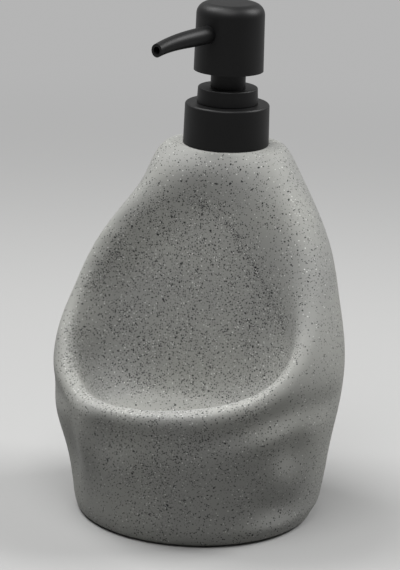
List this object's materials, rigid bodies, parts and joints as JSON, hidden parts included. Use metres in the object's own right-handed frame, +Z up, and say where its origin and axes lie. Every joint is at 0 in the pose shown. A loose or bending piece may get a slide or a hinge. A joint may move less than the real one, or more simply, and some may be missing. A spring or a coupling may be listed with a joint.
{
  "type": "soap pump caddy",
  "caption": "Speckled stone-like soap bottle with a scooped front that holds a sponge, and a black lotion pump on top whose head presses down and turns.",
  "frame": {"origin": "on the surface that it stands on, under the middle of the foot", "axes": "+Z up, the scoop faces -Y, +X to the right of someone who looks into the scoop"},
  "size_m": [0.1118, 0.1124, 0.194],
  "materials": {
    "stone": "matt, speckled",
    "black_plastic": "matt",
    "natural_plastic": "satin",
    "clear_plastic": "satin",
    "seal_rubber": "matt",
    "pad_rubber": "matt",
    "spring_steel": "bright"
  },
  "bodies": {
    "caddy": {"caddy_body": "stone", "neck_insert": "natural_plastic", "base_pad_1": "pad_rubber", "base_pad_2": "pad_rubber", "base_pad_3": "pad_rubber", "base_pad_4": "pad_rubber"},
    "pump": {"housing": "natural_plastic", "guide_ring": "black_plastic", "gasket": "seal_rubber", "stem_wiper": "seal_rubber", "dip_tube": "clear_plastic", "ball_cage": "natural_plastic", "return_spring": "spring_steel"},
    "collar": {"collar_shell": "black_plastic", "closure": "natural_plastic"},
    "plunger": {"stem": "natural_plastic", "piston": "seal_rubber"},
    "head": {"head_cap": "black_plastic", "actuator": "black_plastic", "spout": "black_plastic"},
    "lower_valve": {"inlet_ball": "spring_steel"},
    "upper_valve": {"outlet_ball": "spring_steel"}
  },
  "joints": [
    {"name": "pump_lift", "type": "slide", "parent": "caddy", "child": "pump", "axis": [0, 0, 1], "range_m": [0, 0.145]},
    {"name": "collar_turn", "type": "hinge", "parent": "pump", "child": "collar", "pos_m": [0, 0.025, 0.1477], "axis": [0, 0, 1], "continuous": true},
    {"name": "head_press", "type": "slide", "parent": "pump", "child": "plunger", "axis": [0, 0, -1], "range_m": [0, 0.012], "stiffness_N_per_m": 600, "springref_m": -0.006, "deforming": ["return_spring"]},
    {"name": "head_turn", "type": "hinge", "parent": "plunger", "child": "head", "pos_m": [0, 0.025, 0.175], "axis": [0, 0, 1], "continuous": true},
    {"name": "inlet_ball_lift", "type": "slide", "parent": "pump", "child": "lower_valve", "axis": [0, 0, 1], "range_m": [0, 0.001]},
    {"name": "outlet_ball_lift", "type": "slide", "parent": "plunger", "child": "upper_valve", "axis": [0, 0, 1], "range_m": [0, 0.0015]}
  ]
}
